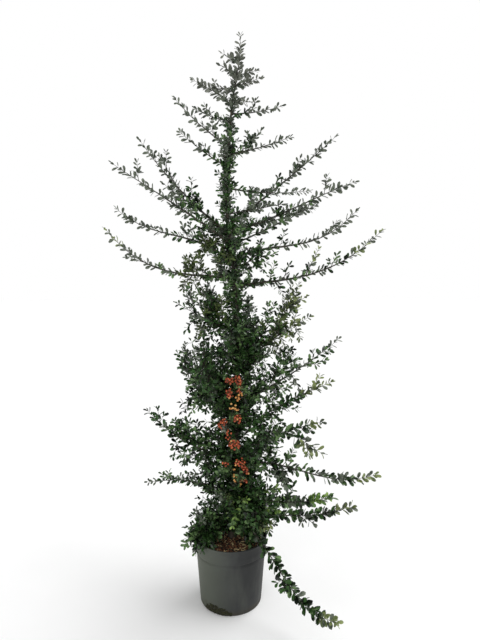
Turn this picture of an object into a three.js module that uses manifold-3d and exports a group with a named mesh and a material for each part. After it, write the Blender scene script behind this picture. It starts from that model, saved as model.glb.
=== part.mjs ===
import * as THREE from 'three';
import { mergeVertices } from 'three/addons/utils/BufferGeometryUtils.js';
import Module from 'manifold-3d';

// A firethorn shrub in its nursery pot, in millimetres, +Z up.
// The origin is the middle of the pot's flat underside. Azimuths are in degrees:
// 0 is +X (the right), 90 is +Y (the back), 180 the left and 270 the front.

const wasm = await Module();
wasm.setup();

const gap = 0.3; // clear between pieces that touch
const up = new THREE.Vector3(0, 0, 1);
const goldenAngle = THREE.MathUtils.degToRad(137.5);

// Pot: a moulded nursery container with a deep rim band.
const potHeight = 278;
const potFootRadius = 127;
const potRimRadius = 150;
const potWall = 3;
const potFloor = 6;
const potFootEdge = 3;
const rimBandHeight = 58;
const rimBandStep = 2.5;
const rimLip = 2;
const rimLipHeight = 6;
const roundSegments = 36;

// Soil fills the pot to a little under its rim.
const soilTop = 256;

// Trunk: side sway and depth sway at even heights, from the soil to where the leader begins.
const trunkTop = 1980;
const trunkSunk = 12; // the sway starts this far under the soil, where the trunk is cut flat
const trunkSwayX = [4, 14, 19, 23, 26, 25, 19, 2, -16, -7, 5];
const trunkSwayY = [0, -3, -6, -4, 2, 6, 5, 0, -4, -2, 0];
const trunkFootRadius = 13.5;
const trunkTopRadius = 4;
const flareRadius = 5.5; // added at the soil, gone a few centimetres up
const flareHeight = 26;
const groundBlock = 100; // what cuts the trunk flat
const trunkSides = 8;
const trunkSteps = 20;

// Leader: the soft top of the trunk, which leans a little to the right.
const leaderPoints = [[5, 0, 1980], [14, -3, 2060], [52, -4, 2190], [34, 0, 2267]];
const leaderRadius = 3.4;
const leaderSpread = 26;

// Limbs: a mass's stem is thicker the further it reaches, and its bough thickens towards the trunk.
const thinStemRadius = 2.6;
const stemThickening = 0.004; // for each millimetre of reach
const boughThickening = 1.25;
const tipRadius = 2.6;
const forkRadius = 2.7;
const sideTwigRadius = 1.5;
const boughSides = 5;
const boughSteps = 3;
const twigSides = 3;
const stemStep = 80; // length of one straight piece of a stem

// Foliage: each solid leaf stands for a few real ones.
const twigLean = THREE.MathUtils.degToRad(52);
const leafSplay = THREE.MathUtils.degToRad(48);
const leafPitch = 70; // between leaves along a stem
const bushySpread = 75; // stems with longer side twigs than this are bushy
const bushyPitch = 50;
const leastGrowth = 4; // leaves and side twigs on the shortest stem
const leavesPerTwig = 3; // a side twig takes the place of every third leaf
const leavesOnTwig = 2;
const leafLift = 0.25;
const leafRoll = 2.2;
const leafLengthLow = 86;
const leafLengthHigh = 58;
const leafWidthShare = 0.42;
const leafThickShare = 0.05;
const leafWidest = 0.58;
const leafSink = 0.6;
const leafVariation = 0.3;
const leafMargin = 1.08; // how much larger the leaf is that has to be clear of other masses
const rootShare = 0.3; // this much of a leaf or twig may lie against what it grows from
const berryRadius = 9;
const berryOffset = 2.7; // from the twig's middle
const berriesOnTwig = 2;
const berryMasses = ['front_4', 'front_5', 'front_6'];
const berryPitch = 22;

// One row for each mass: the height where its limb leaves the trunk, its azimuth, and how far
// the limb reaches outward and rises.
// near and far are how deep the limb hangs under its chord at a third and at two thirds of it.
// bare is the share of the limb that is a bough, and spread is the length of the first side twigs.
const sprays = [
  { name: 'left_1', z: 1935, angle: 165, reach: 163, rise: 70, near: 9, far: 9, spread: 30 },
  { name: 'left_2', z: 1844, angle: 188, reach: 225, rise: 185, near: 22, far: 22, spread: 34 },
  { name: 'left_3', z: 1765, angle: 205, reach: 210, rise: 120, near: 14, far: 14, spread: 36 },
  { name: 'left_4', z: 1500, angle: 176, reach: 370, rise: 397, near: 28, far: 52, bare: 0.25, spread: 66 },
  { name: 'left_5', z: 1470, angle: 198, reach: 464, rise: 283, near: -8, far: -8, bare: 0.22, spread: 60 },
  { name: 'left_6', z: 1436, angle: 212, reach: 200, rise: 57, near: -16, far: -16, spread: 78 },
  { name: 'left_7', z: 1388, angle: 184, reach: 471, rise: 232, near: -80, far: 86, bare: 0.22, spread: 48 },
  { name: 'left_8', z: 1334, angle: 170, reach: 571, rise: 240, near: 60, far: 180, bare: 0.2, spread: 52 },
  { name: 'left_9', z: 1118, angle: 196, reach: 258, rise: 128, near: 9, far: 9, spread: 84 },
  { name: 'left_10', z: 860, angle: 214, reach: 225, rise: 175, near: 12, far: 12, spread: 88 },
  { name: 'left_11', z: 780, angle: 168, reach: 275, rise: 330, near: 60, far: 200, spread: 88 },
  { name: 'left_12', z: 590, angle: 192, reach: 371, rise: 261, near: 40, far: 90, bare: 0.2, spread: 66 },
  { name: 'left_13', z: 430, angle: 172, reach: 392, rise: 38, near: -70, far: -40, spread: 58 },
  { name: 'left_14', z: 310, angle: 215, reach: 247, rise: -34, near: -100, far: -60, spread: 60 },
  { name: 'right_1', z: 1965, angle: 352, reach: 215, rise: 24, near: 11, far: 11, spread: 26 },
  { name: 'right_2', z: 1812, angle: 340, reach: 266, rise: 48, near: 11, far: 11, spread: 32 },
  { name: 'right_3', z: 1685, angle: 345, reach: 340, rise: -24, near: 20, far: 20, spread: 36 },
  { name: 'right_4', z: 1540, angle: 8, reach: 448, rise: 369, near: 13, far: 13, bare: 0.25, spread: 56 },
  { name: 'right_5', z: 1515, angle: 353, reach: 501, rise: 188, near: 30, far: 60, bare: 0.2, spread: 62 },
  { name: 'right_6', z: 1462, angle: 20, reach: 395, rise: 186, near: 6, far: 6, spread: 66 },
  { name: 'right_7', z: 1405, angle: 4, reach: 526, rise: 238, near: -20, far: 170, bare: 0.22, spread: 50 },
  { name: 'right_8', z: 1372, angle: 328, reach: 205, rise: 56, near: -8, far: -8, spread: 66 },
  { name: 'right_9', z: 1302, angle: 350, reach: 585, rise: 236, near: 49, far: 147, bare: 0.2, spread: 52 },
  { name: 'right_10', z: 955, angle: 14, reach: 277, rise: 387, near: 60, far: 90, bare: 0.25, spread: 84 },
  { name: 'right_11', z: 819, angle: 356, reach: 423, rise: 286, near: 20, far: 22, bare: 0.22, spread: 80 },
  { name: 'right_12', z: 706, angle: 338, reach: 398, rise: 245, near: -20, far: -20, spread: 82 },
  { name: 'right_13', z: 610, angle: 16, reach: 402, rise: 106, near: -30, far: -30, spread: 74 },
  { name: 'right_14', z: 560, angle: 350, reach: 579, rise: 11, near: -30, far: 60, bare: 0.2, spread: 62 },
  { name: 'right_15', z: 420, angle: 318, reach: 480, rise: 160, near: -20, far: -20, spread: 74 },
  { name: 'right_16', z: 366, angle: 347, reach: 500, rise: 93, near: 10, far: 45, spread: 62 },
  { name: 'right_17', z: 330, angle: 316, reach: 545, rise: -180, near: -215, far: 215, spread: 44 },
  { name: 'front_1', z: 1740, angle: 262, reach: 100, rise: 100, near: 5, far: 5, spread: 40 },
  { name: 'front_2', z: 1425, angle: 284, reach: 190, rise: 130, near: 10, far: 10, spread: 80 },
  { name: 'front_3', z: 1060, angle: 258, reach: 170, rise: 60, near: -10, far: -10, spread: 92 },
  { name: 'front_4', z: 900, angle: 288, reach: 150, rise: -25, near: -30, far: -30, spread: 44 },
  { name: 'front_5', z: 745, angle: 250, reach: 155, rise: -15, near: -30, far: -30, spread: 48 },
  { name: 'front_6', z: 545, angle: 280, reach: 155, rise: 0, near: -30, far: -30, spread: 48 },
  { name: 'front_7', z: 400, angle: 262, reach: 180, rise: -40, near: -60, far: -60, spread: 84 },
  { name: 'back_1', z: 1740, angle: 85, reach: 190, rise: 150, near: 8, far: 8, spread: 40 },
  { name: 'back_2', z: 1490, angle: 68, reach: 330, rise: 260, near: 20, far: 30, spread: 66 },
  { name: 'back_3', z: 1296, angle: 112, reach: 360, rise: 230, near: 20, far: 60, spread: 72 },
  { name: 'back_4', z: 1010, angle: 78, reach: 300, rise: 260, near: 20, far: 40, spread: 88 },
  { name: 'back_5', z: 720, angle: 108, reach: 350, rise: 200, near: 20, far: 40, spread: 84 },
  { name: 'back_6', z: 420, angle: 72, reach: 370, rise: 80, near: -60, far: -30, spread: 72 },
];

// Second stems that part from a mass's own stem at a share of its length.
const forks = [
  { on: 'leader', at: 0.57, angle: 170, reach: 84, rise: 54, near: 4, far: 4 },
  { on: 'leader', at: 0.3, angle: 192, reach: 96, rise: 15, near: 0, far: 0 },
  { on: 'leader', at: 0.08, angle: 182, reach: 165, rise: 94, near: -15, far: -15 },
  { on: 'leader', at: 0.4, angle: 5, reach: 117, rise: 45, near: 7, far: 7 },
  { on: 'leader', at: 0.16, angle: 340, reach: 93, rise: -7, near: 8, far: 8 },
  { on: 'left_4', at: 0.5, angle: 184, reach: 75, rise: 130, near: 0, far: 0 },
  { on: 'left_9', at: 0.12, angle: 160, reach: 190, rise: 170, near: 30, far: 50 },
  { on: 'left_9', at: 0.2, angle: 222, reach: 190, rise: 60, near: 0, far: 0 },
  { on: 'left_10', at: 0.15, angle: 176, reach: 200, rise: 110, near: 10, far: 10 },
  { on: 'left_13', at: 0.25, angle: 210, reach: 230, rise: 100, near: 0, far: 0 },
  { on: 'right_2', at: 0.15, angle: 28, reach: 130, rise: 130, near: 25, far: 25 },
  { on: 'right_4', at: 0.5, angle: 40, reach: 60, rise: 90, near: 0, far: 0 },
  { on: 'right_9', at: 0.4, angle: 10, reach: 60, rise: 120, near: 0, far: 0 },
  { on: 'right_10', at: 0.2, angle: 342, reach: 210, rise: 140, near: -10, far: -10 },
  { on: 'right_13', at: 0.15, angle: 322, reach: 320, rise: 40, near: -50, far: -50 },
];
const forkSpread = 30;

const firstSeed = 101;
const seedStep = 13;

const bark = { color: 0x5b4a38, roughness: 0.9, metalness: 0 };
const leafGreen = { color: 0x2f3f28, roughness: 0.5, metalness: 0 };
const potGrey = { color: 0x4c4e4d, roughness: 0.6, metalness: 0 };
const soilBrown = { color: 0x4a3022, roughness: 1, metalness: 0 };

function seededRandom(seed) {
  let state = seed;
  return () => {
    state = (Math.imul(state, 1664525) + 1013904223) >>> 0;
    return state / 4294967296;
  };
}

function solidOf(geometry) {
  geometry.deleteAttribute('normal');
  geometry.deleteAttribute('uv');
  const merged = mergeVertices(geometry, 1e-4);
  return new wasm.Manifold(new wasm.Mesh({
    numProp: 3,
    vertProperties: new Float32Array(merged.attributes.position.array),
    triVerts: new Uint32Array(merged.index.array),
  }));
}

function geometryOf(solid) {
  const mesh = solid.getMesh();
  const geometry = new THREE.BufferGeometry();
  geometry.setAttribute('position', new THREE.BufferAttribute(mesh.vertProperties, 3));
  geometry.setIndex(new THREE.BufferAttribute(mesh.triVerts, 1));
  geometry.computeVertexNormals();
  return geometry;
}

// The outer skin of the largest piece: loose scraps go, and a hollow that fusing sealed is filled.
function largestPiece(solid) {
  const pieces = solid.decompose();
  pieces.sort((a, b) => b.volume() - a.volume());
  return pieces[0];
}

function direction(azimuth) {
  const angle = THREE.MathUtils.degToRad(azimuth);
  return new THREE.Vector3(Math.cos(angle), Math.sin(angle), 0);
}

// A round profile of [radius, height] points turned about the upright axis.
function turned(profile) {
  const points = profile.map(([radius, height]) => new THREE.Vector2(radius, height));
  const geometry = new THREE.LatheGeometry(points, roundSegments);
  geometry.rotateX(Math.PI / 2);
  return solidOf(geometry);
}

// A cylinder bent along a curve, its radius a function of how far along it is.
function limb(curve, across, from, to, radiusAt, sides, steps) {
  const geometry = new THREE.CylinderGeometry(1, 1, 1, sides, steps);
  const position = geometry.attributes.position;
  for (let i = 0; i < position.count; i += 1) {
    const along = position.getY(i) + 0.5;
    const place = curve.getPoint(from + (to - from) * along);
    const frame = frameAt(curve, across, from + (to - from) * along);
    const radius = radiusAt(along);
    place.addScaledVector(frame.side, position.getX(i) * radius);
    place.addScaledVector(frame.rise, position.getZ(i) * radius);
    position.setXYZ(i, place.x, place.y, place.z);
  }
  return solidOf(geometry);
}

function frameAt(curve, across, t) {
  const tangent = curve.getTangent(t);
  const side = across.clone().addScaledVector(tangent, -across.dot(tangent)).normalize();
  const rise = new THREE.Vector3().crossVectors(side, tangent);
  return { tangent, side, rise };
}

// Pot and soil

function innerRadius(height) {
  const slope = (potRimRadius - rimBandStep - potFootRadius) / potHeight;
  return potFootRadius - potWall + slope * height;
}

function makePot() {
  const bandFoot = potHeight - rimBandHeight;
  const lipFoot = potHeight - rimLipHeight;
  return turned([
    [0, 0],
    [potFootRadius - potFootEdge, 0],
    [potFootRadius, potFootEdge],
    [innerRadius(bandFoot) + potWall, bandFoot - rimBandStep],
    [innerRadius(bandFoot) + potWall + rimBandStep, bandFoot],
    [potRimRadius - rimLip, lipFoot],
    [potRimRadius, lipFoot + rimLip],
    [potRimRadius, potHeight - 1],
    [potRimRadius - 1, potHeight],
    [innerRadius(potHeight), potHeight],
    [innerRadius(potFloor), potFloor],
    [0, potFloor],
  ]);
}

function makeSoil() {
  const foot = potFloor + gap;
  return turned([
    [0, foot],
    [innerRadius(foot) - 2 * gap, foot],
    [innerRadius(soilTop) - 2 * gap, soilTop],
    [0, soilTop],
  ]);
}

// Trunk and boughs

const trunkFoot = soilTop - trunkSunk;
const trunkLength = trunkTop - trunkFoot;
const trunkCurve = new THREE.CatmullRomCurve3(
  trunkSwayX.map((x, i) => {
    const height = trunkFoot + trunkLength * i / (trunkSwayX.length - 1);
    return new THREE.Vector3(x, trunkSwayY[i], height);
  }),
  false,
  'catmullrom',
);

function trunkRadius(along) {
  const flare = flareRadius * Math.exp((trunkSunk - along * trunkLength) / flareHeight);
  return trunkFootRadius + (trunkTopRadius - trunkFootRadius) * along + flare;
}

function trunkSolid(margin) {
  const across = new THREE.Vector3(0, 1, 0);
  const radiusAt = (along) => trunkRadius(along) + margin;
  const block = new THREE.BoxGeometry(groundBlock, groundBlock, groundBlock);
  block.translate(0, 0, soilTop + gap - groundBlock / 2);
  return limb(trunkCurve, across, 0, 1, radiusAt, trunkSides, trunkSteps).subtract(solidOf(block));
}

function trunkPoint(height) {
  return trunkCurve.getPoint((height - trunkFoot) / trunkLength);
}

// The curve of a limb or fork from its root, in the upright plane of its azimuth.
function limbCurve(root, row) {
  const heading = direction(row.angle);
  const chord = heading.clone().multiplyScalar(row.reach).addScaledVector(up, row.rise);
  return new THREE.CubicBezierCurve3(
    root,
    root.clone().addScaledVector(chord, 1 / 3).addScaledVector(up, -row.near),
    root.clone().addScaledVector(chord, 2 / 3).addScaledVector(up, -row.far),
    root.clone().add(chord),
  );
}

// A stem stops short of its curve's end, which its last leaf reaches.
function stemOf(curve, azimuth, from, startRadius, spread) {
  const leafLength = leafLengthAt(curve.getPoint(0).z);
  const whole = curve.getPoint(from).distanceTo(curve.getPoint(1));
  const to = 1 - (1 - from) * leafLength / whole;
  const length = whole - leafLength;
  return { curve, across: direction(azimuth + 90), from, to, length, startRadius, spread };
}

function stemSolid(stem) {
  const radiusAt = (along) => stem.startRadius + (tipRadius - stem.startRadius) * along;
  const steps = Math.max(3, Math.round(stem.length / stemStep));
  return limb(stem.curve, stem.across, stem.from, stem.to, radiusAt, twigSides, steps);
}

// Leaves, twigs and berries

// Leaves are longest near the ground.
function leafLengthAt(height) {
  const share = (height - soilTop) / (trunkTop - soilTop);
  return leafLengthLow + (leafLengthHigh - leafLengthLow) * share;
}

// A pointed blade of eight faces, widest past its middle, its face turned as far up as it can be.
function leafSolid(root, heading, roll, length, grow) {
  const width = length * leafWidthShare * grow;
  const thickness = length * leafThickShare * grow * grow;
  const geometry = new THREE.OctahedronGeometry(1, 0);
  const position = geometry.attributes.position;
  for (let i = 0; i < position.count; i += 1) {
    const end = Math.round(position.getX(i));
    const x = end === 0 ? leafWidest * length : (end + 1) / 2 * length * grow;
    position.setXYZ(i, x, position.getY(i) * width / 2, position.getZ(i) * thickness / 2);
  }
  const side = new THREE.Vector3().crossVectors(up, heading).normalize();
  const face = new THREE.Vector3().crossVectors(heading, side);
  geometry.rotateX(roll);
  geometry.applyMatrix4(new THREE.Matrix4().makeBasis(heading, side, face));
  geometry.translate(root.x, root.y, root.z);
  return solidOf(geometry);
}

function straightTwig(root, tip, radius) {
  const curve = new THREE.LineCurve3(root, tip);
  const heading = tip.clone().sub(root).normalize();
  const across = new THREE.Vector3().crossVectors(up, heading).normalize();
  return limb(curve, across, 0, 1, () => radius, twigSides, 1);
}

function berrySolid(centre, radius) {
  const geometry = new THREE.IcosahedronGeometry(radius, 0);
  geometry.translate(centre.x, centre.y, centre.z);
  return solidOf(geometry);
}

function boxesMeet(a, b) {
  return [0, 1, 2].every((axis) => a.min[axis] <= b.max[axis] && b.min[axis] <= a.max[axis]);
}

function isClear(solid, owner, obstacles) {
  const box = solid.boundingBox();
  return obstacles.every((other) => other.owner === owner
    || !boxesMeet(box, other.box)
    || solid.intersect(other.solid).isEmpty());
}

function obstacleOf(owner, solid) {
  return { owner, solid, box: solid.boundingBox() };
}

// The heading of what grows from a stem: turned about the stem, leaning out from it and a little up.
function headingFrom(stem, t, turn, lean) {
  const frame = frameAt(stem.curve, stem.across, t);
  const heading = frame.tangent.multiplyScalar(Math.cos(lean));
  heading.addScaledVector(frame.side, Math.sin(lean) * Math.cos(turn));
  heading.addScaledVector(frame.rise, Math.sin(lean) * Math.sin(turn));
  return heading.addScaledVector(up, leafLift).normalize();
}

// Grows one mass on its stems: side twigs in a golden spiral, leaves on both sides of each twig.
function growMass(mass, obstacles) {
  const random = seededRandom(mass.seed);
  const pieces = [mass.solid];
  const grown = [obstacleOf(mass.name, mass.solid)];
  const twigEvery = mass.berries ? 2 : leavesPerTwig;

  function keep(solid, testSolid, outerSolid) {
    const clear = isClear(testSolid, mass.name, obstacles) && isClear(outerSolid, '', grown);
    if (clear) {
      pieces.push(solid);
      grown.push(obstacleOf(mass.name, solid));
    }
    return clear;
  }

  function vary(length) {
    return length * (1 + leafVariation * (random() - 0.5));
  }

  function addLeaf(base, heading) {
    const roll = (random() - 0.5) * leafRoll;
    const length = vary(mass.leafLength);
    const root = base.clone().addScaledVector(heading, -leafSink);
    const outerRoot = base.clone().addScaledVector(heading, length * rootShare);
    const leaf = leafSolid(root, heading, roll, length, 1);
    const test = leafSolid(root, heading, roll, length, leafMargin);
    keep(leaf, test, leafSolid(outerRoot, heading, roll, length * (1 - rootShare), 1));
  }

  // Berries sit in pairs along the end of a twig, each with its middle near the twig's skin.
  function addBerries(root, tip) {
    for (let k = 0; k < berriesOnTwig; k += 1) {
      const middle = tip.clone().lerp(root, (2 * k + 1) * berryRadius / root.distanceTo(tip));
      middle.addScaledVector(direction(360 * random()), berryOffset);
      const berry = berrySolid(middle, berryRadius);
      if (isClear(berrySolid(middle, berryRadius + gap), mass.name, obstacles)) {
        pieces.push(berry);
      }
    }
  }

  function pitchOn(stem) {
    if (mass.berries) {
      return berryPitch;
    }
    return stem.spread > bushySpread ? bushyPitch : leafPitch;
  }

  function addTwig(stem, t, turn, spread) {
    const heading = headingFrom(stem, t, turn, twigLean);
    const root = stem.curve.getPoint(t);
    const length = vary(spread);
    const tip = root.clone().addScaledVector(heading, length);
    const twig = straightTwig(root, tip, sideTwigRadius);
    const test = straightTwig(root, tip, sideTwigRadius + gap);
    const outerRoot = root.clone().addScaledVector(heading, length * rootShare);
    if (!keep(twig, test, straightTwig(outerRoot, tip, sideTwigRadius))) {
      return;
    }
    addLeaf(tip, heading);
    const flat = new THREE.Vector3().crossVectors(heading, up).normalize();
    for (let k = 0; k < leavesOnTwig; k += 1) {
      const side = k % 2 === 0 ? 1 : -1;
      const splay = heading.clone().multiplyScalar(Math.cos(leafSplay));
      splay.addScaledVector(flat, side * Math.sin(leafSplay)).addScaledVector(up, leafLift).normalize();
      addLeaf(root.clone().addScaledVector(heading, length * (k + 1) / (leavesOnTwig + 1)), splay);
    }
    if (mass.berries) {
      addBerries(root, tip);
    }
  }

  mass.stems.forEach((stem) => {
    const count = Math.max(leastGrowth, Math.round(stem.length / pitchOn(stem)));
    const firstTurn = random() * 2 * Math.PI;
    for (let k = 0; k < count; k += 1) {
      const share = (k + 0.5) / count;
      const t = stem.from + (stem.to - stem.from) * share;
      const turn = firstTurn + k * goldenAngle;
      if (k % twigEvery === 1) {
        addTwig(stem, t, turn, stem.spread * (1 - 0.5 * share));
      } else {
        addLeaf(stem.curve.getPoint(t), headingFrom(stem, t, turn, leafSplay));
      }
    }
    addLeaf(stem.curve.getPoint(stem.to), stem.curve.getTangent(stem.to));
  });

  return largestPiece(wasm.Manifold.union(pieces));
}

// Assembly

function node(name, solid, look) {
  const mesh = new THREE.Mesh(geometryOf(solid), new THREE.MeshStandardMaterial(look));
  mesh.name = name;
  return mesh;
}

function massOf(name, stems, seed) {
  const joined = wasm.Manifold.union(stems.map(stemSolid));
  const solid = largestPiece(joined.subtract(trunkSolid(gap)));
  const leafLength = leafLengthAt(stems[0].curve.getPoint(0).z);
  return { name, stems, seed, solid, leafLength, berries: berryMasses.includes(name) };
}

function forkStems(name, parent) {
  const spread = Math.min(parent.spread, forkSpread + parent.spread / 4);
  return forks.filter((fork) => fork.on === name).map((fork) => {
    const root = parent.curve.getPoint(parent.from + (parent.to - parent.from) * fork.at);
    return stemOf(limbCurve(root, fork), fork.angle, 0, forkRadius, spread);
  });
}

function leaderMass() {
  const points = leaderPoints.map(([x, y, z]) => new THREE.Vector3(x, y, z));
  points[0].z += gap;
  const stem = stemOf(new THREE.CubicBezierCurve3(...points), 0, 0, leaderRadius, leaderSpread);
  return massOf('leader', [stem, ...forkStems('leader', stem)], firstSeed);
}

function stemRadius(row) {
  return thinStemRadius + row.reach * stemThickening;
}

function boughSolid(curve, row) {
  const radiusAt = (along) => stemRadius(row) * (boughThickening + (1 - boughThickening) * along);
  const whole = limb(curve, direction(row.angle + 90), 0, row.bare, radiusAt, boughSides, boughSteps);
  return largestPiece(whole.subtract(trunkSolid(gap)));
}

// Where on its curve a mass's stem starts: at the trunk's middle, or just clear of its bough's end.
function stemStart(curve, row) {
  if (!row.bare) {
    return 0;
  }
  const step = 0.001;
  const stepLength = curve.getPoint(row.bare).distanceTo(curve.getPoint(row.bare + step));
  return row.bare + gap * step / stepLength;
}

const pot = makePot();
const soil = makeSoil();
const trunk = trunkSolid(0);
const boughs = [];
const masses = [leaderMass()];

sprays.forEach((row, index) => {
  const curve = limbCurve(trunkPoint(row.z), row);
  if (row.bare) {
    boughs.push({ name: `bough_${row.name}`, solid: boughSolid(curve, row) });
  }
  const stem = stemOf(curve, row.angle, stemStart(curve, row), stemRadius(row), row.spread);
  const mass = massOf(row.name, [stem, ...forkStems(row.name, stem)], firstSeed + (index + 1) * seedStep);
  masses.push(mass);
});

const obstacles = [
  obstacleOf('pot', pot),
  obstacleOf('soil', soil),
  obstacleOf('trunk', trunkSolid(gap)),
  ...boughs.map((bough) => obstacleOf(bough.name, bough.solid)),
  ...masses.map((mass) => obstacleOf(mass.name, mass.solid)),
];
masses.forEach((mass) => {
  mass.solid = growMass(mass, obstacles);
  obstacles.push(obstacleOf(mass.name, mass.solid));
});

const group = new THREE.Group();
group.add(node('pot', pot, potGrey));
group.add(node('soil', soil, soilBrown));
group.add(node('trunk', trunk, bark));
boughs.forEach((bough) => group.add(node(bough.name, bough.solid, bark)));
masses.forEach((mass) => group.add(node(`foliage_${mass.name}`, mass.solid, leafGreen)));

export default group;
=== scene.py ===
from math import atan2, cos, exp, pi, radians, sin, sqrt

import bmesh
import bpy
import numpy as np
from mathutils import Matrix, Vector, noise


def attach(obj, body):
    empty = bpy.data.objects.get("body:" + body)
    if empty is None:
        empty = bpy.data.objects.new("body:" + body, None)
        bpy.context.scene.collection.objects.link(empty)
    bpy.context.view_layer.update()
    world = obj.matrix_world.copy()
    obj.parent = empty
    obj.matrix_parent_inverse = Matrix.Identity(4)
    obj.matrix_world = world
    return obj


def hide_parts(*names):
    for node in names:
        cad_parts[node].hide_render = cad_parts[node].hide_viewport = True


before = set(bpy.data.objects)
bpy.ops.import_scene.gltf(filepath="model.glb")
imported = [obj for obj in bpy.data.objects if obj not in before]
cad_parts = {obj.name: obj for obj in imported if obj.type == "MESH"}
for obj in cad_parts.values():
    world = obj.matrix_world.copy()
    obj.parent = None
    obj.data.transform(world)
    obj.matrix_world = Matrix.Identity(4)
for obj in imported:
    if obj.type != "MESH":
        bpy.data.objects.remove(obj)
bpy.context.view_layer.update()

# A firethorn in its nursery pot. The scene, its camera and its lights are in metres. The tables of the plant
# and the pot are in millimetres and degrees, with tilts and rolls in radians.
# Azimuth 0 is the right (+X), 90 the back (+Y), 180 the left and 270 the front.
mm = 0.001
up = Vector((0, 0, 1))
goldenAngle = radians(137.5)
massNodes = sorted(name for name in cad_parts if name.startswith("foliage_"))
limbNodes = sorted(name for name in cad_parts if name.startswith("bough_")) + ["trunk"]


# Materials

def linear(hexColour):
    parts = [int(hexColour[i:i + 2], 16) / 255 for i in (1, 3, 5)]
    return [c / 12.92 if c <= 0.04045 else ((c + 0.055) / 1.055) ** 2.4 for c in parts] + [1]


# A key of settings is a property or a socket's name or number, and links goes from a socket to an output.
def addNode(tree, kind, settings=None, links=None):
    added = tree.nodes.new(kind)
    for key, value in (settings or {}).items():
        if isinstance(key, str) and hasattr(added, key):
            setattr(added, key, value)
        else:
            added.inputs[key].default_value = value
    for key, source in (links or {}).items():
        tree.links.new(source, added.inputs[key])
    return added


def newFinish(name, settings):
    material = bpy.data.materials.new(name)
    material.use_nodes = True
    surface = material.node_tree.nodes["Principled BSDF"]
    for key, value in settings.items():
        surface.inputs[key].default_value = value
    return material, material.node_tree, surface


def objectPlace(tree, place=(0, 0, 0), scale=(1, 1, 1)):
    coordinates = addNode(tree, "ShaderNodeTexCoord")
    settings = {"Location": place, "Scale": scale}
    mapping = addNode(tree, "ShaderNodeMapping", settings, {"Vector": coordinates.outputs["Object"]})
    return mapping.outputs["Vector"]


# A noise's scale is its features in a metre: 250 gives a pattern of 4 mm.
def addNoise(tree, place, scale, detail):
    settings = {"Scale": scale, "Detail": detail}
    return addNode(tree, "ShaderNodeTexNoise", settings, {"Vector": place}).outputs["Fac"]


def blendColours(tree, amount, first, second):
    added = addNode(tree, "ShaderNodeMix", {"data_type": "RGBA"}, {0: amount})
    for key, colour in ((6, first), (7, second)):
        if isinstance(colour, str):
            added.inputs[key].default_value = linear(colour)
        else:
            tree.links.new(colour, added.inputs[key])
    return added.outputs[2]


# Turns a pattern's value from one range into 0 to 1, with its ends held.
def between(tree, source, low, high):
    settings = {"From Min": low, "From Max": high}
    return addNode(tree, "ShaderNodeMapRange", settings, {"Value": source}).outputs["Result"]


def product(tree, first, second):
    links = {0: first, 1: second}
    return addNode(tree, "ShaderNodeMath", {"operation": "MULTIPLY"}, links).outputs["Value"]


def roughen(tree, surface, source, strength, depth):
    settings = {"Strength": strength, "Distance": depth * mm}
    bump = addNode(tree, "ShaderNodeBump", settings, {"Height": source})
    tree.links.new(bump.outputs["Normal"], surface.inputs["Normal"])


# A finish with one noise (scale, detail): as it passes through span, the colour passes from dark to light.
# relief is a strength and a depth.
def mottled(name, settings, grain, span, colours, relief=None):
    material, tree, surface = newFinish(name, settings)
    pattern = addNoise(tree, objectPlace(tree), *grain)
    colour = blendColours(tree, between(tree, pattern, *span), *colours)
    tree.links.new(colour, surface.inputs["Base Color"])
    if relief:
        roughen(tree, surface, pattern, *relief)
    return material


# Injection-moulded polypropylene: a dull dark grey in clouds, with a faint grain, painted shade to the right
# and painted light to the left.
def mouldedPolypropylene():
    settings = {"Roughness": 0.6, "IOR": 1.49, "Specular IOR Level": 0.35}
    material, tree, surface = newFinish("mouldedPolypropylene", settings)
    place = objectPlace(tree)
    axes = addNode(tree, "ShaderNodeSeparateXYZ", {}, {"Vector": place}).outputs
    clouds = addNoise(tree, place, 7, 4)
    streaks = addNoise(tree, objectPlace(tree, scale=(22, 22, 5)), 1, 3)
    mossPlace = objectPlace(tree, place=(0.085, 0.095, -0.006), scale=(1, 1, 1.7))
    away = addNode(tree, "ShaderNodeVectorMath", {"operation": "LENGTH"}, {0: mossPlace})
    near = between(tree, away.outputs["Value"], 0.075, 0.02)
    moss = product(tree, near, between(tree, addNoise(tree, place, 150, 3), 0.4, 0.55))
    splash = product(tree, between(tree, axes["Z"], 0.03, 0.0), between(tree, clouds, 0.42, 0.6))
    layers = (
        (between(tree, axes["X"], -0.02, 0.14), "#101212"),  # painted shade: darker towards the right, away from the light
        (between(tree, axes["X"], 0.02, -0.13), "#52574c"),  # painted light: a lighter green-grey towards the left, where the light falls
        (between(tree, streaks, 0.5, 1.0), "#434640"),  # rain runs down the wall
        (moss, "#34341f"),  # moss clings low on the left of the front
        (splash, "#38342a"),  # soil has splashed all round the foot
    )
    colour = blendColours(tree, between(tree, clouds, 0.35, 0.68), "#292b2b", "#383a3a")
    for amount, upper in layers:
        colour = blendColours(tree, amount, colour, upper)
    tree.links.new(colour, surface.inputs["Base Color"])
    roughen(tree, surface, addNoise(tree, place, 900, 2), 0.25, 0.4)
    return material


# Cushion moss grown through with soil: dark olive, matt and tufted.
def cushionMoss():
    return mottled("cushionMoss", {"Roughness": 1}, (240, 4), (0.35, 0.65), ("#100f07", "#2f3015"), (1, 1))


# Damp peat: almost black brown, crumbly, no gloss.
def dampPeat():
    return mottled("dampPeat", {"Roughness": 0.95}, (160, 5), (0.35, 0.7), ("#1d130c", "#40291b"), (0.9, 3))


# Chipped conifer bark: dull and rough, each piece one colour that a fine noise varies.
def chippedBark(name, dark, light):
    return mottled(name, {"Roughness": 0.85}, (320, 3), (0.3, 0.7), (dark, light), (0.6, 1))


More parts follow.
